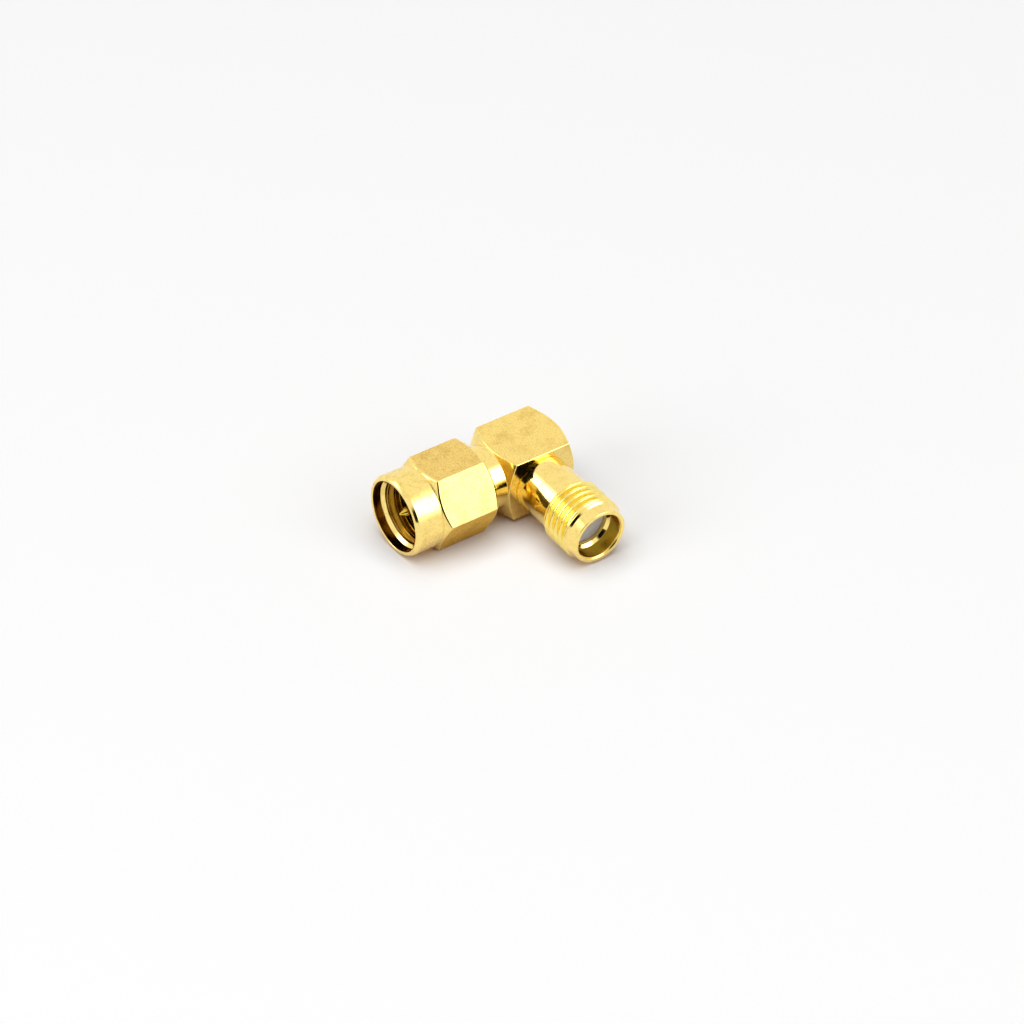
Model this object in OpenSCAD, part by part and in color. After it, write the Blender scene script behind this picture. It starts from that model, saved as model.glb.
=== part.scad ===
// Right-angle coaxial adapter: a threaded plug with a spinning coupling nut, to a threaded jack.
// It lies as it comes to rest, on one flat of the nut and on the front of the jack's thread.
// Origin: centre of the plug's reference plane. The plug points along -Y, the jack along +X and
// rolled slightly down, +Z is up. Lengths are millimetres.

/* [Line through both ends] */
// Diameter of the insulator inside both ends
ptfe_d = 4.1; // [3.6:0.05:4.6]
// Diameter of the centre conductor inside the insulators
contact_d = 1.27; // [1.1:0.01:1.5]
// Free gap left between the two insulators' inner ends and the corner of the line
corner_gap = 0.1; // [0.05:0.05:0.5]
// Radial clearance of the pieces that are pressed or cemented into each other
press_clearance = 0.01; // [0.005:0.005:0.02]

/* [Elbow block] */
// Width across the flats of the square bar that the elbow is turned from
block_w = 6.6; // [6.4:0.1:7.6]
// Crossing of the two axes to the line where the front chamfer leaves the middle of a flat
block_front = 3.65; // [3.4:0.05:4.4]
// Crossing of the two axes to the line where the rear chamfer leaves the middle of a flat
block_rear = 3.69; // [3.5:0.05:4.4]
// Length of the rear chamfer beyond the flats, up to the rear face
rear_nose = 0.06; // [0.02:0.02:0.3]
// Angle of the turned chamfers at both ends of the block, from the face
block_chamfer = 28; // [20:1:40]
// Depth that the round neck is turned below the flats
neck_step = 0.1; // [0.05:0.05:0.3]
// Length of the round neck, from the front chamfer to the shoulder behind the nut
neck_len = 1.6; // [1:0.1:3]

/* [Plug stub] */
// Wall of the stub that the nut turns on
stub_wall = 0.7; // [0.6:0.05:0.8]
// Depth of the groove that holds the snap ring on the stub
groove_depth = 0.45; // [0.35:0.05:0.5]
// Wall of the ferrule that enters the mating jack
ferrule_wall = 0.24; // [0.18:0.02:0.3]
// Chamfer on the turned outer edges
edge = 0.1; // [0.04:0.02:0.14]

/* [Plug pin] */
// Diameter of the pin's free end
pin_d = 0.93; // [0.85:0.01:1.0]
// Reach of the pin beyond the plug's reference plane
pin_reach = 2.12; // [1.6:0.02:2.5]
// Length of the pin's conical tip
pin_cone = 0.7; // [0.3:0.05:0.9]
// Diameter of the flat at the very tip
pin_tip_d = 0.16; // [0.08:0.02:0.3]
// Length of the pin's rear end beyond the cross hole for the jack contact
pin_heel = 0.45; // [0.3:0.05:0.8]

/* [Snap ring] */
// Thickness of the ring along the axis
ring_t = 0.4; // [0.3:0.05:0.5]
// Width of the ring in the radial direction
ring_w = 0.5; // [0.4:0.05:0.6]
// Radial play of the ring, inwards to its groove and outwards to the nut
ring_play = 0.17; // [0.1:0.01:0.25]
// Play of the ring along the axis, on each side
ring_side_play = 0.06; // [0.04:0.01:0.12]
// Width of the gap in the ring
ring_gap = 1.1; // [0.6:0.1:2]

/* [Coupling nut] */
// Outside diameter of the thread that the nut takes and the jack carries
thread_d = 6.35; // [6.1:0.05:6.8]
// Height of the nut's thread
thread_depth = 0.325; // [0.25:0.025:0.4]
// Radial room between the thread and the counterbore at the nut's mouth
mouth_room = 0.325; // [0.2:0.025:0.5]
// Wall of the nut's round nose at the mouth
nose_wall = 0.48; // [0.3:0.02:0.7]
// Depth that the round nose lies below the hexagon's flats
nose_step = 0.02; // [0.01:0.01:0.2]
// Length of the whole nut
nut_len = 8.9; // [8:0.1:11]
// Length of the hexagon, both chamfers included
hex_len = 5.97; // [5:0.1:7]
// Angle of the chamfers on the hexagon and at both ends of the thread, from the face
hex_chamfer = 30; // [15:1:40]
// Depth of the counterbore at the nut's mouth
mouth_depth = 0.9; // [0.5:0.1:1.5]
// Angle of the chamfer from the counterbore down to the lead, from the face
lead_chamfer = 45; // [30:1:55]
// Radial room of the plain lead ahead of the nut's thread, beyond the thread's outside
lead_room = 0.025; // [0.01:0.005:0.05]
// Length of the plain lead ahead of the nut's thread
lead_len = 0.2; // [0.1:0.05:0.4]
// Depth of the plug's reference plane behind the nut's front face
plug_recess = 2.8; // [2.5:0.1:3.4]
// Radial clearance between the nut and the stub that it turns on
nut_clearance = 0.08; // [0.03:0.01:0.1]
// Gap between the nut's rear face and the shoulder of the neck
nut_gap = 0.15; // [0.1:0.05:0.3]
// Length of the nut's rear land, behind the snap ring
rear_land = 1.4; // [1:0.1:2]
// Length of the nut's front land, ahead of the snap ring
front_land = 0.9; // [0.6:0.1:1.4]
// Width of the relief behind the nut's thread
relief_len = 0.7; // [0.4:0.1:1]
// Radial depth of the relief beyond the thread
relief_room = 0.1; // [0.05:0.05:0.2]

/* [Jack barrel] */
// Length of the plain tube between the block and the thread
tube_len = 4.4; // [3:0.1:8]
// Length of the thread, from the end of its run-out to its front chamfer
thread_len = 3.3; // [2.6:0.1:5]
// Length of the run-out that leads from the tube up to the thread
runout_len = 0.3; // [0.2:0.05:0.5]
// Depth of the front collar below the thread
collar_drop = 0.2; // [0.1:0.05:0.35]
// Length from the front of the thread to the rim
collar_len = 1.25; // [1:0.05:1.6]
// Wall of the barrel at the rim
rim_wall = 0.475; // [0.4:0.025:0.6]
// Radial clearance of a mating ferrule in the jack's mouth
mate_clearance = 0.035; // [0.01:0.005:0.05]
// Depth of the jack's mouth, from the rim to its reference plane
mouth_reach = 1.86; // [1.7:0.02:2.2]
// Angle of the chamfered ledge that a mating ferrule meets, from the face
ledge_chamfer = 45; // [20:1:55]
// Depth of the insulator and the contact below the inner edge of that ledge
line_sink = 0.38; // [0.05:0.01:0.6]
// Chamfer at the jack's mouth
mouth_chamfer = 0.15; // [0.05:0.05:0.25]
// Wall of the spigot that is pressed into the block
spigot_wall = 0.45; // [0.3:0.05:0.5]
// Length of the spigot that is pressed into the block
spigot_len = 1.0; // [0.6:0.1:1.1]

/* [Jack contact] */
// Diameter of the socket that takes a mating pin
socket_d = 0.96; // [0.9:0.01:1.02]
// Depth of the socket
socket_depth = 2.6; // [2.2:0.1:4]
// Number of slots that make the socket springy
slot_count = 4; // [2:2:4]
// Width of each slot
slot_w = 0.14; // [0.08:0.02:0.16]
// Length of each slot
slot_len = 2.2; // [1.5:0.1:3]
// Diameter of the tail that is soldered into the plug pin
tail_d = 0.7; // [0.5:0.05:0.8]
// Length of the tail's neck between the contact's body and the plug pin
tail_neck = 1.0; // [0.6:0.1:1.4]

/* [End cap] */
// Ledge that the cap seats on, around the rear opening of the line
cap_ledge = 0.5; // [0.3:0.05:0.7]
// Web of metal between the cap's seat and the hole for the jack's spigot
cap_web = 0.15; // [0.1:0.05:0.3]
// Depth of the cap below the block's rear face
cap_sink = 0.2; // [0.1:0.05:0.4]

/* [Hidden] */
$fn = 96;
gold = "#e3bd62";
white = "#f2f1ec";
bronze = "#b98a4a";
// Overrun of a cutting tool beyond the face that it cuts
over = 1;

// Radii along the line
ptfe_r = ptfe_d / 2;
contact_r = contact_d / 2;
ferrule_r = ptfe_r + ferrule_wall;
stub_r = ptfe_r + stub_wall;
groove_r = stub_r - groove_depth;
block_half = block_w / 2;
neck_r = block_half - neck_step;
cap_r = ptfe_r + cap_ledge;
spigot_r = ptfe_r + spigot_wall;

// Radii of the nut, from its thread outwards
thread_r = thread_d / 2;
minor_r = thread_r - thread_depth;
relief_r = thread_r + relief_room;
mouth_r = thread_r + mouth_room;
lead_r = thread_r + lead_room;
nose_r = mouth_r + nose_wall;
hex_af = 2 * (nose_r + nose_step);
hex_corner_r = hex_af / 2 / cos(30);
nut_bore_r = stub_r + nut_clearance;

// Radii of the snap ring and of its groove in the nut
ring_in_r = groove_r + ring_play;
ring_out_r = ring_in_r + ring_w;
nut_groove_r = ring_out_r + ring_play;

// Radii of the jack
jack_bore_r = ferrule_r + mate_clearance;
rim_r = jack_bore_r + rim_wall;
collar_r = thread_r - collar_drop;

// Stations along the plug's axis, from the crossing of the two axes
rear_face = block_rear + rear_nose;
cap_seat = spigot_r + cap_web;
cap_face = rear_face - cap_sink;
corner = ptfe_r + corner_gap;
chamfer_slope = tan(block_chamfer);
shoulder = block_front + neck_len;
nut_rear = shoulder + nut_gap;
nut_front = nut_rear + nut_len;
ring_pocket = ring_t + 2 * ring_side_play;
ring_rear = nut_rear + rear_land;
ring_front = ring_rear + ring_pocket;
stub_end = ring_front + front_land;
thread_rear = stub_end + relief_len;
mouth_floor = nut_front - mouth_depth;
lead_front = mouth_floor - (mouth_r - lead_r) * tan(lead_chamfer);
lead_rear = lead_front - lead_len;
plug_reach = nut_front - plug_recess;

// Stations along the jack's axis, from the crossing of the two axes
thread_start = block_half + tube_len;
thread_front = thread_start + runout_len + thread_len;
rim = thread_front + collar_len;
jack_reach = rim - mouth_reach;
ledge_front = jack_reach + (jack_bore_r - ptfe_r) * tan(ledge_chamfer);
line_front = jack_reach - line_sink;

// Roll at which the thread's front edge meets the plane of the nut's lowest flat
lie_roll = atan2(thread_front, thread_r) - acos(hex_af / 2 / norm([thread_front, thread_r]));

module along_plug() {
    rotate([90, 0, 0]) children();
}

module along_jack() {
    rotate([0, 90, 0]) children();
}

// The elbow and what is fixed in it, rolled about the plug's axis until the jack touches down
module lying() {
    translate([0, plug_reach, 0]) rotate([0, lie_roll, 0]) children();
}

// A round shape from a list of [radius, station] points
module turned(points) {
    rotate_extrude() polygon(points);
}

// Bar of square or hexagonal stock with one flat facing up
module bar_stock(sides, across, from, to) {
    translate([0, 0, from]) rotate([0, 0, 90 - 180 / sides])
        cylinder(r = across / 2 / cos(180 / sides), h = to - from, $fn = sides);
}

module bore(r, from, to) {
    translate([0, 0, from]) cylinder(r = r, h = to - from);
}

// Square bar, turned to a neck, a grooved stub and a ferrule, and bored along both axes
module elbow_body() {
    bar_r = 1.6 * block_half;
    cone_len = (bar_r - block_half) * chamfer_slope;
    outline = [
        [0, -rear_face],
        [block_half - rear_nose / chamfer_slope, -rear_face],
        [bar_r, cone_len - block_rear],
        [bar_r, block_front - cone_len],
        [neck_r, block_front + neck_step * chamfer_slope],
        [neck_r, shoulder - edge],
        [neck_r - edge, shoulder],
        [stub_r, shoulder],
        [stub_r, ring_rear],
        [groove_r, ring_rear],
        [groove_r, ring_front],
        [stub_r, ring_front],
        [stub_r, stub_end - edge],
        [stub_r - edge, stub_end],
        [ferrule_r, stub_end],
        [ferrule_r, plug_reach - edge],
        [ferrule_r - edge, plug_reach],
        [0, plug_reach]
    ];
    color(gold) lying() difference() {
        along_plug() intersection() {
            turned(outline);
            bar_stock(4, block_w, -rear_face - over, plug_reach + over);
        }
        along_plug() bore(ptfe_r, -rear_face - over, plug_reach + over);
        along_plug() bore(cap_r, -rear_face - over, -cap_seat);
        along_jack() bore(ptfe_r, 0, block_half + over);
        along_jack() bore(spigot_r, block_half - spigot_len, block_half + over);
    }
}

// Disc pressed into the rear opening, once the centre conductors are soldered
module end_cap() {
    fit_r = cap_r - press_clearance;
    color(gold) lying() along_plug() turned([
        [0, -cap_seat],
        [fit_r, -cap_seat],
        [fit_r, edge - cap_face],
        [fit_r - edge, -cap_face],
        [0, -cap_face]
    ]);
}

// Turned barrel with a spigot pressed into the block; its thread is drawn at full diameter
module jack_barrel() {
    fit_r = spigot_r - press_clearance;
    color(gold) lying() along_jack() turned([
        [ptfe_r, block_half - spigot_len],
        [fit_r - edge, block_half - spigot_len],
        [fit_r, block_half - spigot_len + edge],
        [fit_r, block_half],
        [rim_r - edge, block_half],
        [rim_r, block_half + edge],
        [rim_r, thread_start],
        [thread_r, thread_start + runout_len],
        [thread_r, thread_front],
        [collar_r, thread_front + collar_drop],
        [rim_r, rim - edge],
        [rim_r - edge, rim],
        [jack_bore_r + mouth_chamfer, rim],
        [jack_bore_r, rim - mouth_chamfer],
        [jack_bore_r, ledge_front],
        [ptfe_r, jack_reach]
    ]);
}

// Plain bush of insulator around the centre conductor
module bush(from, to) {
    turned([
        [contact_r + press_clearance, from],
        [ptfe_r - press_clearance, from],
        [ptfe_r - press_clearance, to],
        [contact_r + press_clearance, to]
    ]);
}

module jack_insulator() {
    color(white) lying() along_jack() bush(corner, line_front);
}

module plug_insulator() {
    color(white) lying() along_plug() bush(corner, plug_reach);
}

// Slotted socket with a thin tail that crosses the corner into the plug pin
module jack_contact() {
    tail_start = contact_r + tail_neck;
    tail_r = tail_d / 2;
    socket_r = socket_d / 2;
    lead = (contact_r - socket_r) / 2;
    color(gold) lying() along_jack() difference() {
        turned([
            [0, -contact_r],
            [tail_r, -contact_r],
            [tail_r, tail_start],
            [contact_r, tail_start],
            [contact_r, line_front],
            [socket_r + lead, line_front],
            [socket_r, line_front - lead],
            [socket_r, line_front - socket_depth],
            [0, line_front - socket_depth]
        ]);
        for (i = [0 : slot_count - 1])
            rotate([0, 0, 360 / slot_count * (i + 0.5)])
                translate([0, -slot_w / 2, line_front - slot_len])
                    cube([contact_r + over, slot_w, slot_len + over]);
    }
}

// Stepped pin: free end, body in the insulator, heel with a cross hole for the jack contact
module plug_pin() {
    heel = tail_d / 2 + pin_heel;
    tip = plug_reach + pin_reach;
    color(gold) lying() difference() {
        along_plug() turned([
            [0, -heel],
            [contact_r - edge, -heel],
            [contact_r, edge - heel],
            [contact_r, plug_reach],
            [pin_d / 2, plug_reach],
            [pin_d / 2, tip - pin_cone],
            [pin_tip_d / 2, tip],
            [0, tip]
        ]);
        along_jack() bore(tail_d / 2 + press_clearance, -contact_r - over, contact_r + over);
    }
}

// Open spring ring that lies half in the stub's groove and half in the nut's
module snap_ring() {
    from = ring_rear + ring_side_play;
    color(bronze) lying() along_plug() difference() {
        turned([
            [ring_in_r, from],
            [ring_out_r, from],
            [ring_out_r, from + ring_t],
            [ring_in_r, from + ring_t]
        ]);
        translate([0, -ring_gap / 2, from - over])
            cube([ring_out_r + over, ring_gap, ring_t + 2 * over]);
    }
}

// Nut turned from hexagonal bar; its thread is drawn at its inner diameter
module coupling_nut() {
    slope = tan(hex_chamfer);
    bar_r = hex_corner_r + over;
    cone_len = (bar_r - nose_r) * slope;
    outline = [
        [0, nut_rear],
        [nose_r, nut_rear],
        [bar_r, nut_rear + cone_len],
        [bar_r, nut_rear + hex_len - cone_len],
        [nose_r, nut_rear + hex_len],
        [nose_r, nut_front - edge],
        [nose_r - edge, nut_front],
        [0, nut_front]
    ];
    hollow = [
        [0, nut_rear - over],
        [nut_bore_r + edge, nut_rear - over],
        [nut_bore_r + edge, nut_rear],
        [nut_bore_r, nut_rear + edge],
        [nut_bore_r, ring_rear],
        [nut_groove_r, ring_rear],
        [nut_groove_r, ring_front],
        [nut_bore_r, ring_front],
        [nut_bore_r, stub_end],
        [relief_r, stub_end],
        [relief_r, thread_rear],
        [minor_r, thread_rear + (relief_r - minor_r) * slope],
        [minor_r, lead_rear - (lead_r - minor_r) * slope],
        [lead_r, lead_rear],
        [lead_r, lead_front],
        [mouth_r, mouth_floor],
        [mouth_r, nut_front - edge / 2],
        [mouth_r + edge / 2, nut_front],
        [mouth_r + edge / 2, nut_front + over],
        [0, nut_front + over]
    ];
    color(gold) translate([0, plug_reach, 0]) along_plug() difference() {
        intersection() {
            turned(outline);
            bar_stock(6, hex_af, nut_rear - over, nut_front + over);
        }
        turned(hollow);
    }
}

elbow_body();
end_cap();
jack_barrel();
jack_insulator();
jack_contact();
plug_insulator();
plug_pin();
snap_ring();
coupling_nut();
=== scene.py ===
import math
import bpy
import bmesh
from mathutils import Matrix, Quaternion, Vector


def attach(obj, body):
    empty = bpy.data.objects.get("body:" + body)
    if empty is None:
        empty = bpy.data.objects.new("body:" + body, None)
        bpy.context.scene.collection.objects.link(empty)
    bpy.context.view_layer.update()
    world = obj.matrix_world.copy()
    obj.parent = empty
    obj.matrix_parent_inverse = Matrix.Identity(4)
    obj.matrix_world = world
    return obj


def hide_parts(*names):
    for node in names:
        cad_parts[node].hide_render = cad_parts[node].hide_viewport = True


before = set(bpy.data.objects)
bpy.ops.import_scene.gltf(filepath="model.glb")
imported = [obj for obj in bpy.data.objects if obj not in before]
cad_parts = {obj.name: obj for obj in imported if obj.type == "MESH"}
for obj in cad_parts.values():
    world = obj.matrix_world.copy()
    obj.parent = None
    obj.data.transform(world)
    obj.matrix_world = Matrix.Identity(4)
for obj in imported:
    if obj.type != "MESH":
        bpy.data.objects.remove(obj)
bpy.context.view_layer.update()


# Elbow body: square brass bar, turned at both ends to cones, a neck, a grooved stub and a ferrule,
# then drilled along both axes and gold-plated. The flats keep the drawn bar's satin face, and what
# was turned shines. Lengths are millimetres along each arm from the crossing of the two axes.
MM = 0.001
line_r = 2.05
block_half = 3.3
block_edge = 0.09
block_slope = math.tan(math.radians(28))
block_front, block_rear, rear_face = 3.65, 3.69, 3.75
neck_r, shoulder = 3.2, 5.25
stub_r, stub_end, groove_r = 2.75, 8.22, 2.3
ring_rear, ring_front = 6.8, 7.32
ferrule_r, plug_reach = 2.29, 11.5
cap_r, cap_seat = 2.55, 2.65
spigot_r, spigot_end = 2.5, 2.3
lie_roll, sharp_turn = math.radians(4.2308122), math.radians(40)
lying = Matrix.Translation((0, plug_reach * MM, 0)) @ Matrix.Rotation(lie_roll, 4, "Y")
plug_axis = lying @ Matrix.Rotation(math.pi / 2, 4, "X") @ Matrix.Scale(MM, 4)
jack_axis = lying @ Matrix.Rotation(math.pi / 2, 4, "Y") @ Matrix.Scale(MM, 4)


def bar_reach(angle, sides, half, edge):
    """Distance from a bar's axis to its surface, one flat facing up and its long edges rounded."""
    step = 2 * math.pi / sides
    off = abs((angle - math.pi / 2 + step / 2) % step - step / 2)
    if off <= math.atan((half - edge) * math.tan(step / 2) / half):
        return half / math.cos(off)
    centre = (half - edge) / math.cos(step / 2)
    aside = centre * math.sin(step / 2 - off)
    return centre * math.cos(step / 2 - off) + math.sqrt(edge ** 2 - aside ** 2)


def bar_angles(sides, half, edge, per_flat, per_edge=6, margin=0.006):
    """Angles of the columns round a bar: even on each flat up to a margin, close at long edges."""
    step = 2 * math.pi / sides
    flat = math.atan((half - edge) * math.tan(step / 2) / half)
    on_flat = [(flat - margin) * (2 * k / per_flat - 1) for k in range(per_flat + 1)]
    on_edge = [flat + (step - 2 * flat) * k / per_edge for k in range(per_edge + 1)]
    return [math.pi / 2 + step * side + a for side in range(sides) for a in on_flat + on_edge]


def round_angles(count):
    return [2 * math.pi * k / count for k in range(count)]


def rounded(corners, closed, arc_steps=4, most=0.3, hold=1.4):
    """Steps of a turned profile. A corner is (radius, station, rounding, finish, rows): its edge is
    rounded, over at most a share of each run beside it, and the run after it has that finish and is
    split into that many rows. A step at hold times the rounding keeps the run beside it flat."""
    groups = []
    for i, (radius, station, rounding, finish, *_) in enumerate(corners):
        here = Vector((radius, station))
        if not closed and i in (0, len(corners) - 1):
            groups.append([(here, finish)])
            continue
        back = Vector(corners[i - 1][:2]) - here
        ahead = Vector(corners[(i + 1) % len(corners)][:2]) - here
        cut = min(rounding, most * back.length, most * ahead.length)
        enter, leave = back.normalized() * cut, ahead.normalized() * cut
        arc = [k / arc_steps for k in range(arc_steps + 1)]
        group = [(here + hold * enter, "turned")]
        group += [(here + (1 - t) ** 2 * enter + t * t * leave, "turned") for t in arc]
        groups.append(group + [(here + hold * leave, finish)])
    steps = []
    for group, following, corner in zip(groups, groups[1:] + groups[:1], corners):
        steps += group
        rows = corner[4] if len(corner) > 4 else 1
        (start, finish), (end, _) = group[-1], following[0]
        steps += [(start.lerp(end, k / rows), finish) for k in range(1, rows)]
    return steps


def turned_mesh(name, profile, angles, place, finishes, closed=True):
    """Skin of a turned piece: a ring of points for each step of its profile, which may differ from
    angle to angle. A profile that isn't closed starts and ends on the axis."""
    columns = [rounded(profile(a), closed) for a in angles]
    if not closed:
        poles = columns[0][0][0], columns[0][-1][0]
        columns = [column[1:-1] for column in columns]
    count, rings = len(columns), len(columns[0])
    points = [(p.x * math.cos(a), p.x * math.sin(a), p.y)
              for a, column in zip(angles, columns) for p, _ in column]
    faces, kinds = [], []
    for j in range(count):
        here, there = j * rings, (j + 1) % count * rings
        for i in range(rings if closed else rings - 1):
            k = (i + 1) % rings
            faces.append((here + i, there + i, there + k, here + k))
            kinds.append(columns[j][i][1])
        if not closed:
            faces += [(here, count * rings, there),
                      (there + rings - 1, count * rings + 1, here + rings - 1)]
            kinds += [columns[j][0][1], columns[j][-1][1]]
    if not closed:
        points += [(0, 0, pole.y) for pole in poles]
    mesh = bpy.data.meshes.new(name)
    mesh.from_pydata(points, [], faces)
    names = list(finishes)
    for finish in names:
        mesh.materials.append(finishes[finish])
    fallback = names.index("turned") if "turned" in names else 0
    mesh.polygons.foreach_set(
        "material_index", [names.index(k) if k in names else fallback for k in kinds])
    mesh.polygons.foreach_set("use_smooth", [True] * len(faces))
    skin = bmesh.new()
    skin.from_mesh(mesh)
    bmesh.ops.recalc_face_normals(skin, faces=skin.faces)
    skin.to_mesh(mesh)
    skin.free()
    mesh.transform(place)
    return mesh


def new_piece(name, mesh):
    piece = bpy.data.objects.new(name, mesh)
    bpy.context.scene.collection.objects.link(piece)
    return piece


def worked(piece):
    """The piece's mesh as its modifiers leave it. They are taken off the piece."""
    made = bpy.data.meshes.new_from_object(
        piece.evaluated_get(bpy.context.evaluated_depsgraph_get()))
    piece.modifiers.clear()
    return made


def drilled(piece, drill_mesh):
    """The piece's mesh with the drill's shape taken out of it."""
    drill = new_piece("drill", drill_mesh)
    cut = piece.modifiers.new("drill", "BOOLEAN")
    cut.operation, cut.solver, cut.object = "DIFFERENCE", "EXACT", drill
    made = worked(piece)
    bpy.data.objects.remove(drill)
    made.set_sharp_from_angle(angle=sharp_turn)
    return made


def add(tree, kind, inputs=(), **settings):
    """A node with its settings. An input is a plain value, or another node's output to link."""
    made = tree.nodes.new(kind)
    for key, value in settings.items():
        setattr(made, key, value)
    for socket, value in dict(inputs).items():
        if isinstance(value, bpy.types.NodeSocket):
            tree.links.new(value, made.inputs[socket])
        else:
            made.inputs[socket].default_value = value
    return made


def calc(tree, operation, *values):
    return add(tree, "ShaderNodeMath", enumerate(values), operation=operation).outputs[0]


def spread(tree, value, low, high, new_low, new_high, smooth=False):
    """A value's range stretched to a new one, and held there beyond its ends."""
    limits = {"Value": value, "From Min": low, "From Max": high,
              "To Min": new_low, "To Max": new_high}
    kind = "SMOOTHSTEP" if smooth else "LINEAR"
    return add(tree, "ShaderNodeMapRange", limits, interpolation_type=kind).outputs["Result"]


def tint(tree, share, plain, marked):
    """Colour between two others, by share. The plain one may be another node's output."""
    if not isinstance(plain, bpy.types.NodeSocket):
        plain = (*plain, 1)
    mix = {"Factor": share, 6: plain, 7: (*marked, 1)}
    return add(tree, "ShaderNodeMix", mix, data_type="RGBA").outputs[2]


def noise(tree, spot, per_mm, detail, roughness=0.5, output="Fac"):
    return add(tree, "ShaderNodeTexNoise", {
        "Vector": spot, "Scale": per_mm, "Detail": detail, "Roughness": roughness}).outputs[output]


def bump(tree, shader, height, strength, depth):
    """Fine relief of a finish, its depth in millimetres."""
    relief = {"Height": height, "Strength": strength, "Distance": depth * MM}
    tree.links.new(add(tree, "ShaderNodeBump", relief).outputs["Normal"], shader.inputs["Normal"])


def piece_coordinates(tree, place):
    """Millimetres in a piece's own turning frame, its axis along Z."""
    spot, turn, size = place.inverted().decompose()
    return add(tree, "ShaderNodeMapping", {
        "Vector": add(tree, "ShaderNodeTexCoord").outputs["Object"],
        "Location": spot, "Rotation": turn.to_euler("XYZ"), "Scale": size}).outputs["Vector"]


def new_finish(name, metallic=1.0):
    finish = bpy.data.materials.new(name)
    finish.use_nodes = True
    finish.node_tree.nodes["Principled BSDF"].inputs["Metallic"].default_value = metallic
    return finish, finish.node_tree, finish.node_tree.nodes["Principled BSDF"]


gold, gold_stain = (1.0, 0.765, 0.25), (0.72, 0.51, 0.10)


def satin_gold(name, place, rough, plain, stained, glancing=(0.95, 0.84, 0.5)):
    """Gold plate on drawn bar: fine grain, faint lines along it, cloudy stains and small ragged
    pits. Its colour deepens a little at glancing angles."""
    pits_per_mm, largest_pit, pit_edge, pit_brown = 3.4, 0.22, 0.08, (0.18, 0.10, 0.02)
    drawn_out, raggedness = (9, 9, 1.1), (0.09, 0.09, 0.09)
    finish, tree, shader = new_finish(name)
    shader.inputs["Specular Tint"].default_value = (*glancing, 1)
    spot = piece_coordinates(tree, place)
    along_bar = add(tree, "ShaderNodeMapping", {"Vector": spot, "Scale": drawn_out})
    grain = noise(tree, spot, per_mm=7.0, detail=5.0, roughness=0.7)
    drawn = noise(tree, along_bar.outputs["Vector"], per_mm=1.0, detail=3.0)
    cloud = noise(tree, spot, per_mm=0.55, detail=4.0, roughness=0.7)
    strayed = noise(tree, spot, per_mm=14.0, detail=3.0, output="Color")
    ragged = add(tree, "ShaderNodeVectorMath", {0: strayed, 1: raggedness, 2: spot},
                 operation="MULTIPLY_ADD").outputs["Vector"]
    cell = add(tree, "ShaderNodeTexVoronoi", {"Vector": ragged, "Scale": pits_per_mm})
    chosen = add(tree, "ShaderNodeSeparateColor", {"Color": cell.outputs["Color"]})
    pit_size = spread(tree, chosen.outputs["Red"], 0.6, 1.0, 0.0, largest_pit)
    past_pit = calc(tree, "SUBTRACT", cell.outputs["Distance"], pit_size)
    pit = spread(tree, past_pit, -pit_edge, 0.0, 0.85, 0.0, True)
    stain = calc(tree, "ADD", spread(tree, cloud, 0.46, 0.70, 0.0, 0.42),
                 spread(tree, grain, 0.46, 0.66, 0.0, 0.55))
    plate = tint(tree, pit, tint(tree, stain, plain, stained), pit_brown)
    tree.links.new(plate, shader.inputs["Base Color"])
    tree.links.new(spread(tree, grain, 0.3, 0.7, rough, rough * 1.5), shader.inputs["Roughness"])
    height = calc(tree, "ADD", grain, calc(tree, "MULTIPLY", drawn, 0.6))
    bump(tree, shader, calc(tree, "SUBTRACT", height, pit), strength=0.35, depth=0.012)
    return finish


def turned_gold(name, place, rough, marks_per_mm, plate=gold, worn=gold_stain):
    """Gold plate on turned metal, with the fine rings that a lathe's tool leaves round the axis."""
    finish, tree, shader = new_finish(name)
    spot = piece_coordinates(tree, place)
    parts = add(tree, "ShaderNodeSeparateXYZ", {"Vector": spot}).outputs
    aside = add(tree, "ShaderNodeCombineXYZ", {"X": parts["X"], "Y": parts["Y"]}).outputs["Vector"]
    reach = add(tree, "ShaderNodeVectorMath", {0: aside}, operation="LENGTH").outputs["Value"]
    ring = add(tree, "ShaderNodeCombineXYZ", {"X": reach, "Z": parts["Z"]}).outputs["Vector"]
    marks = noise(tree, ring, per_mm=marks_per_mm, detail=3.0)
    haze = noise(tree, spot, per_mm=1.3, detail=4.0, roughness=0.6)
    specks = noise(tree, spot, per_mm=5.0, detail=4.0, roughness=0.7)
    shade = calc(tree, "ADD", spread(tree, haze, 0.48, 0.72, 0.0, 0.4),
                 spread(tree, specks, 0.5, 0.68, 0.0, 0.4))
    tree.links.new(tint(tree, shade, plate, worn), shader.inputs["Base Color"])
    tree.links.new(spread(tree, specks, 0.3, 0.7, rough, rough * 1.6), shader.inputs["Roughness"])
    height = calc(tree, "ADD", marks, calc(tree, "MULTIPLY", specks, 0.6))
    bump(tree, shader, height, strength=0.25, depth=0.006)
    return finish


bar_plate = (1.0, 0.76, 0.245), (0.62, 0.38, 0.08)
bar_gold = satin_gold("satin_gold_block", plug_axis, 0.3, *bar_plate)
milled_gold = satin_gold("milled_gold", plug_axis, 0.08, *bar_plate, glancing=(1, 1, 1))
plug_gold = turned_gold("turned_gold_plug", plug_axis, 0.09, 9.0)


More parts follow.
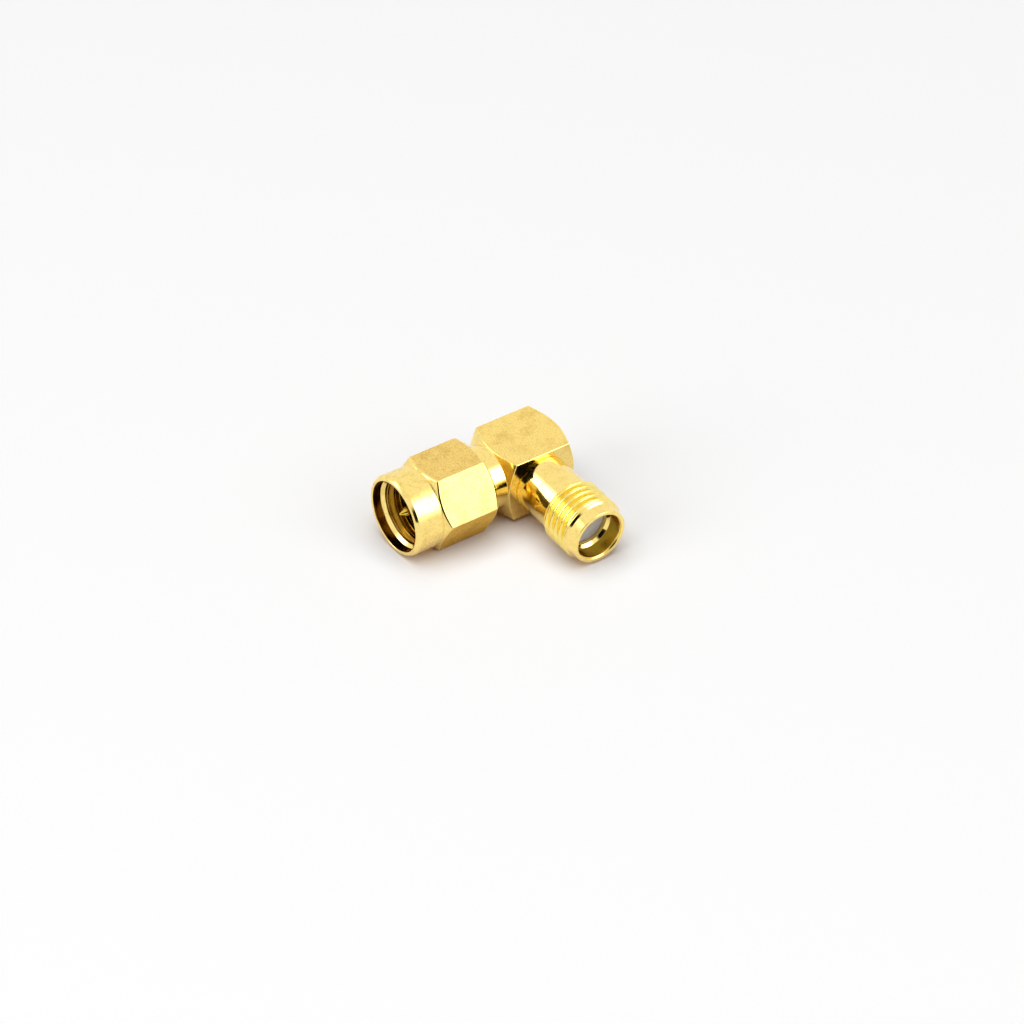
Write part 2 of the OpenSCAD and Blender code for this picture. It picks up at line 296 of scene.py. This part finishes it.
def block_profile(angle):
    """The block's outside and its plug bore. The flat on the jack's side is milled and shinier."""
    flat = bar_reach(angle, 4, block_half, block_edge)
    rise = (flat - block_half) * block_slope
    face = "milled" if math.cos(angle) > math.cos(math.pi / 4) else "flat"
    return [
        (cap_r, -rear_face, 0.04, "turned"),
        (block_half - (rear_face - block_rear) / block_slope, -rear_face, 0.05, "turned"),
        (flat, rise - block_rear, 0.05, face, 8),
        (flat, block_front - rise, 0.05, "turned", 2),
        (neck_r, block_front + (block_half - neck_r) * block_slope, 0.03, "turned", 4),
        (neck_r, shoulder, 0.1, "turned"),
        (stub_r, shoulder, 0.03, "turned"),
        (stub_r, ring_rear, 0.03, "turned"),
        (groove_r, ring_rear, 0.03, "turned"),
        (groove_r, ring_front, 0.03, "turned"),
        (stub_r, ring_front, 0.03, "turned"),
        (stub_r, stub_end, 0.1, "turned"),
        (ferrule_r, stub_end, 0.03, "turned"),
        (ferrule_r, plug_reach, 0.1, "turned"),
        (line_r, plug_reach, 0.04, "turned", 12),
        (line_r, -cap_seat, 0.03, "turned"),
        (cap_r, -cap_seat, 0.03, "turned"),
    ]


drill_under, drill_edge, drill_past = 0.005, 0.001, 1
drill_r = line_r - drill_under


def side_drill(angle):
    """Cuts the jack's line bore, a hair under the plug's so that they don't coincide, and the seat
    of the jack barrel."""
    return [
        (0, 0, 0, "turned"),
        (drill_r, 0, drill_edge, "turned"),
        (drill_r, spigot_end, drill_edge, "turned"),
        (spigot_r, spigot_end, drill_edge, "turned"),
        (spigot_r, block_half + drill_past, drill_edge, "turned"),
        (0, block_half + drill_past, 0, "turned"),
    ]


elbow = new_piece("elbow_block", turned_mesh(
    "elbow_block", block_profile, bar_angles(4, block_half, block_edge, 30), plug_axis,
    {"flat": bar_gold, "milled": milled_gold, "turned": plug_gold}))
elbow.data = drilled(elbow, turned_mesh(
    "side_drill", side_drill, round_angles(96), jack_axis, {"turned": plug_gold}, closed=False))
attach(elbow, "elbow")
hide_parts("elbow_body")


# Jack barrel: turned brass tube, pressed with its spigot into the block's side. Its outside thread,
# 36 turns to the inch on 6.35 mm, is cut by a rule; ahead of it a collar tapers to a thin rim.
barrel_r, barrel_fit, seam = 2.8, 0.01, 0.1
thread_r, thread_pitch, thread_depth = 3.175, 0.7056, 0.40
thread_start, runout, thread_front = 7.7, 0.3, 11.3
thread_lead_in, thread_fade, thread_wall_r = 0.05, 0.3, 2.6
thread_root, thread_crest, outside, inside = 0.22, 0.84, 1.0, -1.0
collar_r, collar_drop, rim = 2.975, 0.2, 12.55
jack_bore_r, jack_reach, mouth_chamfer = 2.325, 10.69, 0.15
ledge_front = jack_reach + jack_bore_r - line_r
# The bore's plate is darker than the outside gold: painted shade for the recess of the jack's
# mouth.
jack_bore_shade = (0.66, 0.44, 0.04), (0.44, 0.27, 0.015)
thread_plate = (1.0, 0.81, 0.25), (0.78, 0.56, 0.09)
jack_gold = turned_gold("turned_gold_jack", jack_axis, 0.08, 9.0)
jack_bore_gold = turned_gold("jack_bore_gold", jack_axis, 0.17, 12.0, *jack_bore_shade)
thread_gold = turned_gold("thread_gold", jack_axis, 0.07, 12.0, *thread_plate)


def barrel_profile(angle):
    return [
        (line_r, spigot_end, 0.03, "turned"),
        (spigot_r - barrel_fit, spigot_end, 0.1, "turned"),
        (spigot_r - barrel_fit, block_half, 0.005, "turned"),
        (barrel_r - seam, block_half, 0.01, "turned"),
        (barrel_r, block_half + seam, 0.02, "turned", 6),
        (barrel_r, thread_start, 0.05, "turned", 14),
        (thread_r, thread_start + runout, 0.04, "turned", 132),
        (thread_r, thread_front, 0.02, "turned", 6),
        (collar_r, thread_front + collar_drop, 0.02, "turned", 30),
        (barrel_r, rim, 0.11, "turned"),
        (jack_bore_r + mouth_chamfer, rim, 0.04, "bore"),
        (jack_bore_r, rim - mouth_chamfer, 0.06, "bore", 4),
        (jack_bore_r, ledge_front, 0.02, "turned", 3),
        (line_r, jack_reach, 0.02, "turned", 8),
    ]


def new_rule(name, inputs, output):
    """A geometry rule, with its inputs' identifiers by label."""
    rule = bpy.data.node_groups.new(name, "GeometryNodeTree")
    inlets = {}
    for label, kind in inputs.items():
        inlets[label] = rule.interface.new_socket(
            label, in_out="INPUT", socket_type="NodeSocket" + kind).identifier
    rule.interface.new_socket(output, in_out="OUTPUT", socket_type="NodeSocketGeometry")
    return rule, inlets


def ruled(piece, rule, inlets, sizes):
    """The piece's mesh after a geometry rule, with the sizes that the rule is given."""
    step = piece.modifiers.new(rule.name, "NODES")
    step.node_group = rule
    for label, value in sizes.items():
        step[inlets[label]] = value
    return worked(piece)


thread_rule, thread_inlets = new_rule("cut_thread", {
    "Turned blank": "Geometry", "Pitch": "Float", "Depth": "Float", "Crest radius": "Float",
    "From": "Float", "To": "Float", "Fade": "Float", "Side": "Float", "Skin radius": "Float",
    "Finish": "Material"}, "Threaded")
tree = thread_rule
given = add(tree, "NodeGroupInput").outputs
where = add(tree, "GeometryNodeInputPosition").outputs[0]
parts = add(tree, "ShaderNodeSeparateXYZ", {"Vector": where}).outputs
across = calc(tree, "ADD", calc(tree, "POWER", parts["X"], 2.0),
              calc(tree, "POWER", parts["Y"], 2.0))
reach = calc(tree, "SQRT", across)
turns = calc(tree, "DIVIDE", calc(tree, "ARCTAN2", parts["Y"], parts["X"]), 2 * math.pi)
pitches = calc(tree, "DIVIDE", parts["Z"], given["Pitch"])
phase = calc(tree, "FRACT", calc(tree, "SUBTRACT", pitches, turns))
ridge = calc(tree, "ABSOLUTE", calc(tree, "MULTIPLY_ADD", phase, 2.0, -1.0))
groove = spread(tree, ridge, thread_root, thread_crest, 1.0, 0.0)
full_from = calc(tree, "ADD", given["From"], given["Fade"])
full_to = calc(tree, "SUBTRACT", given["To"], given["Fade"])
fade_in = spread(tree, parts["Z"], given["From"], full_from, 0.0, 1.0, True)
fade_out = spread(tree, parts["Z"], full_to, given["To"], 1.0, 0.0, True)
groove = calc(tree, "MULTIPLY", calc(tree, "MULTIPLY", groove, fade_in), fade_out)
left = calc(tree, "SUBTRACT", calc(tree, "MULTIPLY", given["Crest radius"], given["Side"]),
            calc(tree, "MULTIPLY", groove, given["Depth"]))
left = calc(tree, "MINIMUM", left, calc(tree, "MULTIPLY", reach, given["Side"]))
share = calc(tree, "DIVIDE", calc(tree, "MULTIPLY", left, given["Side"]), reach)
pulled = add(tree, "ShaderNodeCombineXYZ", {
    "X": calc(tree, "MULTIPLY", parts["X"], share), "Y": calc(tree, "MULTIPLY", parts["Y"], share),
    "Z": parts["Z"]}).outputs["Vector"]
on_skin = calc(tree, "GREATER_THAN", calc(tree, "MULTIPLY", given["Side"], calc(
    tree, "SUBTRACT", reach, given["Skin radius"])), 0.0)
in_span = calc(tree, "MULTIPLY", calc(tree, "GREATER_THAN", parts["Z"], given["From"]),
               calc(tree, "LESS_THAN", parts["Z"], given["To"]))
threaded = calc(tree, "MULTIPLY", on_skin, in_span)
cut = add(tree, "GeometryNodeSetPosition", {
    "Geometry": given["Turned blank"], "Selection": threaded, "Position": pulled}).outputs[0]
cut = add(tree, "GeometryNodeRealizeInstances", {"Geometry": cut}).outputs[0]
cut = add(tree, "GeometryNodeSetMaterial", {
    "Geometry": cut, "Selection": threaded, "Material": given["Finish"]}).outputs[0]
add(tree, "NodeGroupOutput", {"Threaded": cut})


def threaded_mesh(blank, place, sizes):
    """A turned blank's mesh, made in its turning frame, with a thread cut into it, put in place."""
    piece = new_piece("blank", blank)
    made = ruled(piece, thread_rule, thread_inlets, sizes)
    bpy.data.objects.remove(piece)
    made.transform(place)
    return made


barrel_blank = turned_mesh(
    "threaded_barrel", barrel_profile, round_angles(168), Matrix.Identity(4),
    {"turned": jack_gold, "bore": jack_bore_gold})
barrel = new_piece("threaded_barrel", threaded_mesh(barrel_blank, jack_axis, {
    "Pitch": thread_pitch, "Depth": thread_depth, "Crest radius": thread_r,
    "From": thread_start - thread_lead_in, "To": thread_front, "Fade": thread_fade,
    "Side": outside, "Skin radius": thread_wall_r, "Finish": thread_gold}))
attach(barrel, "elbow")
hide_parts("jack_barrel")


# Insulators: two bushes turned from white PTFE, pushed into the arms around the centre conductor.
# The jack's shows as the white disc in its mouth. PTFE is waxy, soft-edged and a bit see-through.
contact_r, bush_fit, bush_start, bush_sunk = 0.635, 0.01, 2.15, 0.38
line_front = jack_reach - bush_sunk
ptfe_white, ptfe_grey = (0.92, 0.92, 0.90), (0.84, 0.84, 0.81)
ptfe_glow, ptfe_glow_depth = 0.15, (0.4 * MM, 0.4 * MM, 0.35 * MM)
ptfe, tree, shader = new_finish("white_ptfe", metallic=0.0)
spot = piece_coordinates(tree, jack_axis)
cloud = spread(tree, noise(tree, spot, per_mm=2.2, detail=4.0), 0.4, 0.7, 0.0, 1.0)
grain = noise(tree, spot, per_mm=16.0, detail=3.0)
tree.links.new(tint(tree, cloud, ptfe_white, ptfe_grey), shader.inputs["Base Color"])
tree.links.new(spread(tree, grain, 0.3, 0.7, 0.38, 0.55), shader.inputs["Roughness"])
bump(tree, shader, grain, strength=0.3, depth=0.01)
shader.inputs["Subsurface Weight"].default_value = ptfe_glow
shader.inputs["Subsurface Radius"].default_value = ptfe_glow_depth
shader.inputs["Subsurface Scale"].default_value = 1.0


def bush_mesh(name, place, end):
    outer, inner = line_r - bush_fit, contact_r + bush_fit
    return turned_mesh(name, lambda angle: [
        (inner, bush_start, 0.04, "ptfe"),
        (outer, bush_start, 0.06, "ptfe", 10),
        (outer, end, 0.06, "ptfe", 3),
        (inner, end, 0.04, "ptfe", 10),
    ], round_angles(96), place, {"ptfe": ptfe})


jack_bush = new_piece("jack_bush", bush_mesh("jack_bush", jack_axis, line_front))
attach(jack_bush, "elbow")
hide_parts("jack_insulator")
plug_bush = new_piece("plug_bush", bush_mesh("plug_bush", plug_axis, plug_reach))
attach(plug_bush, "elbow")
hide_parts("plug_insulator")


# Jack contact: socket turned from spring bronze, slit into four fingers and gold-plated. A thin
# tail crosses the corner of the line and is soldered into the plug pin's cross hole.
socket_r, socket_depth, socket_lead = 0.48, 2.6, 0.0775
slit_count, slit_w, slit_len, slit_reach = 4, 0.14, 2.2, 1.0
tail_r, tail_end = 0.35, 1.635
contact_gold = turned_gold("contact_gold", jack_axis, 0.15, 16.0)


def socket_profile(angle):
    return [
        (0, -contact_r, 0, "turned"),
        (tail_r, -contact_r, 0.04, "turned"),
        (tail_r, tail_end, 0.03, "turned"),
        (contact_r, tail_end, 0.05, "turned", 6),
        (contact_r, line_front, 0.04, "turned"),
        (socket_r + socket_lead, line_front, 0.02, "turned"),
        (socket_r, line_front - socket_lead, 0.03, "turned", 4),
        (socket_r, line_front - socket_depth, 0.03, "turned"),
        (0, line_front - socket_depth, 0, "turned"),
    ]


slit_rule, slit_inlets = new_rule("slit_fingers", {
    "Socket": "Geometry", "Count": "Int", "Width": "Float", "Length": "Float", "Reach": "Float",
    "Mouth": "Float", "Finish": "Material"}, "Slit socket")
tree = slit_rule
given = add(tree, "NodeGroupInput").outputs
blade_size = add(tree, "ShaderNodeCombineXYZ", {
    "X": calc(tree, "MULTIPLY", given["Reach"], 2.0), "Y": given["Width"],
    "Z": calc(tree, "MULTIPLY", given["Length"], 2.0)}).outputs["Vector"]
blade = add(tree, "GeometryNodeMeshCube", {"Size": blade_size}).outputs["Mesh"]
blade_spot = add(tree, "ShaderNodeCombineXYZ", {
    "X": given["Reach"], "Z": given["Mouth"]}).outputs["Vector"]
blade = add(tree, "GeometryNodeTransform", {
    "Geometry": blade, "Translation": blade_spot}).outputs[0]
spots = add(tree, "GeometryNodePoints", {"Count": given["Count"]}).outputs[0]
place_no = add(tree, "GeometryNodeInputIndex").outputs[0]
half_on = calc(tree, "ADD", place_no, 0.5)
slit_turn = calc(tree, "DIVIDE", calc(tree, "MULTIPLY", half_on, 2 * math.pi), given["Count"])
blades = add(tree, "GeometryNodeInstanceOnPoints", {
    "Points": spots, "Instance": blade, "Rotation": add(
        tree, "ShaderNodeCombineXYZ", {"Z": slit_turn}).outputs["Vector"]}).outputs[0]
blades = add(tree, "GeometryNodeRealizeInstances", {"Geometry": blades}).outputs[0]
saw = add(tree, "GeometryNodeMeshBoolean", operation="DIFFERENCE", solver="EXACT")
tree.links.new(given["Socket"], saw.inputs["Mesh 1"])
tree.links.new(blades, saw.inputs["Mesh 2"])
slit = add(tree, "GeometryNodeRealizeInstances", {"Geometry": saw.outputs["Mesh"]}).outputs[0]
slit = add(tree, "GeometryNodeSetMaterial", {
    "Geometry": slit, "Material": given["Finish"]}).outputs[0]
add(tree, "NodeGroupOutput", {"Slit socket": slit})

socket = new_piece("socket_contact", turned_mesh(
    "socket_contact", socket_profile, round_angles(64), Matrix.Identity(4),
    {"turned": contact_gold}, closed=False))
socket.data = ruled(socket, slit_rule, slit_inlets, {
    "Count": slit_count, "Width": slit_w, "Length": slit_len, "Reach": slit_reach,
    "Mouth": line_front, "Finish": contact_gold})
socket.data.transform(jack_axis)
socket.data.set_sharp_from_angle(angle=sharp_turn)
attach(socket, "elbow")
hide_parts("jack_contact")


# Plug pin: turned brass pin with a conical tip, gold-plated, held by the plug's insulator. Its heel
# is cross-drilled for the tail of the jack's contact.
pin_r, pin_tip, pin_cone, pin_tip_r, pin_heel = 0.465, 13.62, 0.7, 0.08, 0.8
tail_fit, cross_half = 0.01, 1.5
cross_r = tail_r + tail_fit
pin_plate = (0.80, 0.55, 0.08), (0.55, 0.35, 0.04)
pin_gold = turned_gold("pin_gold", plug_axis, 0.14, 16.0, *pin_plate)


def pin_profile(angle):
    return [
        (0, -pin_heel, 0, "turned"),
        (contact_r, -pin_heel, 0.1, "turned", 16),
        (contact_r, plug_reach, 0.03, "turned"),
        (pin_r, plug_reach, 0.02, "turned", 3),
        (pin_r, pin_tip - pin_cone, 0.12, "turned", 3),
        (pin_tip_r, pin_tip, 0.05, "turned"),
        (0, pin_tip, 0, "turned"),
    ]


def cross_drill(angle):
    return [
        (0, -cross_half, 0, "turned"),
        (cross_r, -cross_half, drill_edge, "turned"),
        (cross_r, cross_half, drill_edge, "turned"),
        (0, cross_half, 0, "turned"),
    ]


pin = new_piece("centre_pin", turned_mesh(
    "centre_pin", pin_profile, round_angles(64), plug_axis, {"turned": pin_gold}, closed=False))
pin.data = drilled(pin, turned_mesh(
    "cross_drill", cross_drill, round_angles(48), jack_axis, {"turned": pin_gold}, closed=False))
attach(pin, "elbow")
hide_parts("plug_pin")


# End cap: thin turned disc, pressed into the block's rear opening once the conductors are soldered,
# a little below the rear face, with a broken edge that leaves a fine ring-shaped groove.
cap_face, cap_fit = 3.55, 0.01


def cap_profile(angle):
    return [
        (0, -cap_seat, 0, "turned"),
        (cap_r - cap_fit, -cap_seat, 0.04, "turned"),
        (cap_r - cap_fit, -cap_face, 0.1, "turned", 3),
        (0, -cap_face, 0, "turned"),
    ]


cap = new_piece("rear_cap", turned_mesh(
    "rear_cap", cap_profile, round_angles(96), plug_axis, {"turned": plug_gold}, closed=False))
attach(cap, "elbow")
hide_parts("end_cap")


# Snap ring: open ring of bronze spring wire, sprung into the stub's groove before the nut goes on.
# It is hidden inside the nut; the ring from model.glb has its shape and takes the bronze finish.
bronze_bright, bronze_dull = (0.66, 0.42, 0.20), (0.48, 0.28, 0.12)
bronze, tree, shader = new_finish("spring_bronze")
cloud = noise(tree, piece_coordinates(tree, plug_axis), per_mm=3.0, detail=4.0)
tree.links.new(tint(tree, cloud, bronze_bright, bronze_dull), shader.inputs["Base Color"])
tree.links.new(spread(tree, cloud, 0.3, 0.7, 0.25, 0.42), shader.inputs["Roughness"])
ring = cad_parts["snap_ring"]
ring.data.materials.clear()
ring.data.materials.append(bronze)


# Coupling nut: hexagonal brass bar, coned at both ends, turned to a round nose and bored in steps,
# with an inside thread and a counterbored mouth; gold-plated. The flats' ends are broken, and the
# tool left a fine mark at the nose's root. It spins on the stub, held by the ring.
hex_half, hex_edge, hex_slope = 4.0, 0.1, math.tan(math.radians(30))
nut_rear, hex_end, nut_front = 5.4, 11.37, 14.3
nose_r, mouth_r, mouth_floor = 3.98, 3.5, 13.4
nut_thread_r, nut_thread_depth, nut_thread_fade, nut_wall_r = 2.85, 0.36, 0.02, 3.4
lead_r, lead_len = 3.2, 0.2
nose_chamfer, nose_chamfer_len, root_r, root_len = 0.2, 0.3, 3.92, 0.1
break_drop, break_len = 0.08, 0.15
lead_front = mouth_floor - (mouth_r - lead_r)
lead_rear = lead_front - lead_len
relief_r, relief_front = 3.275, 8.92
nut_thread_front = lead_rear - (lead_r - nut_thread_r) * hex_slope
nut_thread_rear = relief_front + (relief_r - nut_thread_r) * hex_slope
nut_bore_r, nut_groove_r = 2.83, 3.14
nut_axis = (Matrix.Translation((0, plug_reach * MM, 0)) @ Matrix.Rotation(math.pi / 2, 4, "X")
            @ Matrix.Scale(MM, 4))
# The nut's plate, stain and glancing tint are darker than the block's: painted shade for a slight
# tilt that turns its flats from the light. The stains' random pattern is their own.
hex_shaded_plate = (0.94, 0.68, 0.22), (0.48, 0.27, 0.05)
# The bore and the inside thread have dark plates, the thread a little lighter: painted shade for
# the recesses inside the nut.
nut_bore_shade = (0.27, 0.10, 0.006), (0.16, 0.05, 0.002)
nut_thread_shade = (0.32, 0.16, 0.012), (0.18, 0.08, 0.005)
hex_gold = satin_gold("satin_gold_nut", plug_axis, 0.3, *hex_shaded_plate, glancing=(0.88, 0.70, 0.32))
bore_gold = turned_gold("bore_gold", plug_axis, 0.12, 12.0, *nut_bore_shade)
faced_gold = turned_gold("faced_gold", plug_axis, 0.35, 12.0)
nut_thread_gold = turned_gold("nut_thread_gold", plug_axis, 0.12, 12.0, *nut_thread_shade)
nose_gold = turned_gold("nose_gold", plug_axis, 0.2, 9.0, worn=(0.62, 0.40, 0.07))


def nut_profile(angle):
    flat = bar_reach(angle, 6, hex_half, hex_edge)
    rise = (flat - nose_r) * hex_slope
    return [
        (nut_bore_r, nut_rear, 0.1, "faced", 4),
        (root_r, nut_rear, 0.05, "turned"),
        (flat - break_drop, nut_rear + rise, 0.04, "turned"),
        (flat, nut_rear + rise + break_len, 0.04, "flat", 8),
        (flat, hex_end - rise - break_len, 0.04, "turned"),
        (flat - break_drop, hex_end - rise, 0.04, "turned"),
        (root_r, hex_end, 0.03, "turned"),
        (nose_r, hex_end + root_len, 0.03, "nose", 4),
        (nose_r, nut_front - nose_chamfer_len, 0.06, "turned", 2),
        (nose_r - nose_chamfer, nut_front, 0.1, "turned"),
        (mouth_r, nut_front, 0.06, "bore", 3),
        (mouth_r, mouth_floor, 0.03, "turned", 4),
        (lead_r, lead_front, 0.02, "bore", 4),
        (lead_r, lead_rear, 0.03, "bore", 8),
        (nut_thread_r, nut_thread_front, 0.03, "bore", 140),
        (nut_thread_r, nut_thread_rear, 0.03, "bore", 8),
        (relief_r, relief_front, 0.03, "bore"),
        (relief_r, stub_end, 0.03, "bore"),
        (nut_bore_r, stub_end, 0.03, "bore"),
        (nut_bore_r, ring_front, 0.03, "bore"),
        (nut_groove_r, ring_front, 0.03, "bore"),
        (nut_groove_r, ring_rear, 0.03, "bore"),
        (nut_bore_r, ring_rear, 0.03, "bore", 3),
    ]


nut_blank = turned_mesh(
    "hex_nut", nut_profile, bar_angles(6, hex_half, hex_edge, 18), Matrix.Identity(4),
    {"flat": hex_gold, "turned": plug_gold, "nose": nose_gold, "bore": bore_gold,
     "faced": faced_gold})
nut = new_piece("hex_nut", threaded_mesh(nut_blank, nut_axis, {
    "Pitch": thread_pitch, "Depth": nut_thread_depth, "Crest radius": nut_thread_r,
    "From": relief_front, "To": lead_rear, "Fade": nut_thread_fade,
    "Side": inside, "Skin radius": nut_wall_r, "Finish": nut_thread_gold}))
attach(nut, "nut")
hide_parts("coupling_nut")


# Floor: a plain white sheet that the adapter lies on, on one flat of the nut and the jack's thread.
# In light that the sheet sends by way of the gold onto matt surfaces, the sheet takes a darker warm
# colour: painted shade that deepens and warms the contact shadows. Far from the adapter the sheet
# fades into the white room. Lengths from here on are metres.
floor_z, floor_half = -hex_half * MM, 3.0
fade_start, fade_end = 0.09, 0.3
# The second colour is painted warm shade: the sheet's colour in light that it sends by way of the
# gold.
paper_white, warm_shade_paper = (0.96, 0.96, 0.955), (0.84, 0.60, 0.12)


def straight_look(tree):
    """1 for what is seen plainly, mirrored or through something, and 0 for what is seen by way of a
    matt surface."""
    path = add(tree, "ShaderNodeLightPath").outputs
    seen = calc(tree, "MAXIMUM", path["Is Camera Ray"], calc(
        tree, "MAXIMUM", path["Is Glossy Ray"], path["Is Transmission Ray"]))
    return calc(tree, "MULTIPLY", seen, calc(tree, "LESS_THAN", path["Diffuse Depth"], 0.5))


def matt_sheet(name, finish_name, middle, side, up, rough):
    """A flat sheet round its middle, with half of each side as a vector, and its matt finish."""
    mesh = bpy.data.meshes.new(name)
    mesh.from_pydata([middle + side * x + up * y for x, y in
                      ((-1, -1), (1, -1), (1, 1), (-1, 1))], [], [(0, 1, 2, 3)])
    finish, tree, shader = new_finish(finish_name, metallic=0.0)
    shader.inputs["Roughness"].default_value = rough
    shader.inputs["Specular IOR Level"].default_value = 0.0
    mesh.materials.append(finish)
    return new_piece(name, mesh), tree, shader


def overlay(tree, share, first, second):
    """Surface between two shaders, by share."""
    mixed = add(tree, "ShaderNodeMixShader", {0: share, 1: first, 2: second}).outputs[0]
    tree.links.new(mixed, tree.nodes["Material Output"].inputs["Surface"])


floor, tree, shader = matt_sheet(
    "floor", "white_paper", Vector((0, 0, floor_z)), Vector((floor_half, 0, 0)),
    Vector((0, floor_half, 0)), rough=0.9)
path = add(tree, "ShaderNodeLightPath").outputs
# Painted shade: seen by way of the gold from a matt surface, the sheet takes the darker warm
# colour.
shaded_bounce = calc(tree, "MULTIPLY", calc(tree, "GREATER_THAN", path["Diffuse Depth"], 0.5),
              path["Is Glossy Ray"])
tree.links.new(tint(tree, shaded_bounce, paper_white, warm_shade_paper), shader.inputs["Base Color"])
away = add(tree, "ShaderNodeVectorMath", {
    0: add(tree, "ShaderNodeTexCoord").outputs["Object"]}, operation="LENGTH").outputs["Value"]
faded = calc(tree, "MULTIPLY", straight_look(tree),
             spread(tree, away, fade_start, fade_end, 0.0, 1.0, True))
sweep = add(tree, "ShaderNodeEmission", {"Color": (1, 1, 1, 1), "Strength": 1.0}).outputs[0]
overlay(tree, faded, shader.outputs[0], sweep)


# Light: a white room, three soft boxes that light the floor, two that only gleam in the metal, and
# a dark cloth that only mirrors show. The cloth is a small, soft-edged patch in a first reflection
# and whole in a second one, as in the corner between block and tube.
room_light, room_shown = 0.1, 1.0
scene = bpy.context.scene
scene.view_settings.view_transform = "Standard"
room = bpy.data.worlds.new("white_room")
room.use_nodes = True
scene.world = room
tree = room.node_tree
tree.nodes.clear()
lit, shown = (add(tree, "ShaderNodeBackground", {
    "Color": (1, 1, 1, 1), "Strength": glow}).outputs[0] for glow in (room_light, room_shown))
both = add(tree, "ShaderNodeMixShader", {0: straight_look(tree), 1: lit, 2: shown}).outputs[0]
add(tree, "ShaderNodeOutputWorld", {"Surface": both})


def facing(azimuth, elevation):
    """Direction from the adapter, in degrees: azimuth from -Y towards +X, elevation from level."""
    a, e = math.radians(azimuth), math.radians(elevation)
    return Vector((math.sin(a) * math.cos(e), -math.cos(a) * math.cos(e), math.sin(e)))


def soft_box(name, azimuth, elevation, distance, width, height, brightness, gleam, soft_from=0.4):
    """Area lamp that faces the adapter. A brightness of 1 is as bright as the white room. A gleam
    lamp shows in polished metal, with soft edges, and leaves the floor alone, and another lights
    the floor and what is matt."""
    back = facing(azimuth, elevation)
    lamp = bpy.data.lights.new(name, "AREA")
    lamp.shape, lamp.size, lamp.size_y = "RECTANGLE", width, height
    lamp.energy = brightness * math.pi * width * height
    box = bpy.data.objects.new(name, lamp)
    box.location = back * distance
    box.rotation_mode = "QUATERNION"
    box.rotation_quaternion = back.to_track_quat("Z", "Y")
    box.visible_diffuse, box.visible_glossy = not gleam, gleam
    if gleam:
        lamp.use_nodes = True
        tree = lamp.node_tree
        past_floor = add(tree, "ShaderNodeLightPath").outputs["Diffuse Depth"]
        across = add(tree, "ShaderNodeSeparateXYZ", {
            "Vector": add(tree, "ShaderNodeNewGeometry").outputs["Parametric"]}).outputs
        strength = calc(tree, "LESS_THAN", past_floor, 0.5)
        for way in ("X", "Y"):
            off_middle = calc(tree, "ABSOLUTE", calc(
                tree, "MULTIPLY_ADD", across[way], 2.0, -1.0))
            soft_edge = spread(tree, off_middle, soft_from, 1.0, 1.0, 0.0, True)
            strength = calc(tree, "MULTIPLY", strength, soft_edge)
        tree.links.new(strength, tree.nodes["Emission"].inputs["Strength"])
    scene.collection.objects.link(box)


soft_box("floor_box", 10, 82, 1.2, 1.3, 1.3, 2.5, gleam=False)
soft_box("plug_side_box", 0, 24, 1.2, 0.8, 0.8, 2.37, gleam=False)
soft_box("jack_side_box", 110, 40, 1.2, 0.8, 0.8, 1.62, gleam=False)
soft_box("right_box", 126, 31, 0.6, 0.52, 0.58, 4.2, gleam=True)
soft_box("left_box", 320, 30, 0.6, 0.46, 0.54, 3.3, gleam=True)
cloth_away, cloth_half_w, cloth_half_h = 0.9, 0.9, 0.75
patch_whole, patch_end, cloth_black = 0.26, 0.48, (0.005, 0.005, 0.005, 1)
cloth_back, patch_back = facing(43, 29), facing(60, 15)
cloth_side = Vector((0, 0, 1)).cross(cloth_back).normalized()
cloth_up = cloth_back.cross(cloth_side)
dark_cloth, tree, shader = matt_sheet(
    "dark_cloth", "dark_cloth", cloth_back * cloth_away, cloth_side * cloth_half_w,
    cloth_up * cloth_half_h, rough=1.0)
shader.inputs["Base Color"].default_value = cloth_black
off_patch = add(tree, "ShaderNodeVectorMath", {
    0: add(tree, "ShaderNodeTexCoord").outputs["Object"], 1: patch_back * cloth_away},
    operation="DISTANCE").outputs["Value"]
mirrorings = add(tree, "ShaderNodeLightPath").outputs["Glossy Depth"]
hung = calc(tree, "MAXIMUM", calc(tree, "GREATER_THAN", mirrorings, 1.5),
            spread(tree, off_patch, patch_whole, patch_end, 1.0, 0.0, True))
gap = add(tree, "ShaderNodeBsdfTransparent").outputs[0]
overlay(tree, hung, gap, shader.outputs[0])
dark_cloth.visible_camera = dark_cloth.visible_diffuse = dark_cloth.visible_shadow = False


# Camera: a long lens on the jack's side, at the distance, height and turn that a fit of the
# photograph gave. It leans by a fraction of a degree, as the photograph does.
aim = Vector((5.7098, 6.4471, 0.0)) * MM
azimuth, elevation, lean = 54.833, 37.2855, math.radians(-0.27)
distance, lens, sensor, nearest, farthest = 449.99 * MM, 172.27, 36.0, 0.01, 50.0
back = facing(azimuth, elevation)
camera = bpy.data.objects.new("camera", bpy.data.cameras.new("camera"))
camera.data.lens, camera.data.sensor_width = lens, sensor
camera.data.clip_start, camera.data.clip_end = nearest, farthest
camera.location = aim + back * distance
camera.rotation_mode = "QUATERNION"
camera.rotation_quaternion = back.to_track_quat("Z", "Y") @ Quaternion((0, 0, 1), lean)
scene.collection.objects.link(camera)
scene.camera = camera

bpy.context.view_layer.update()
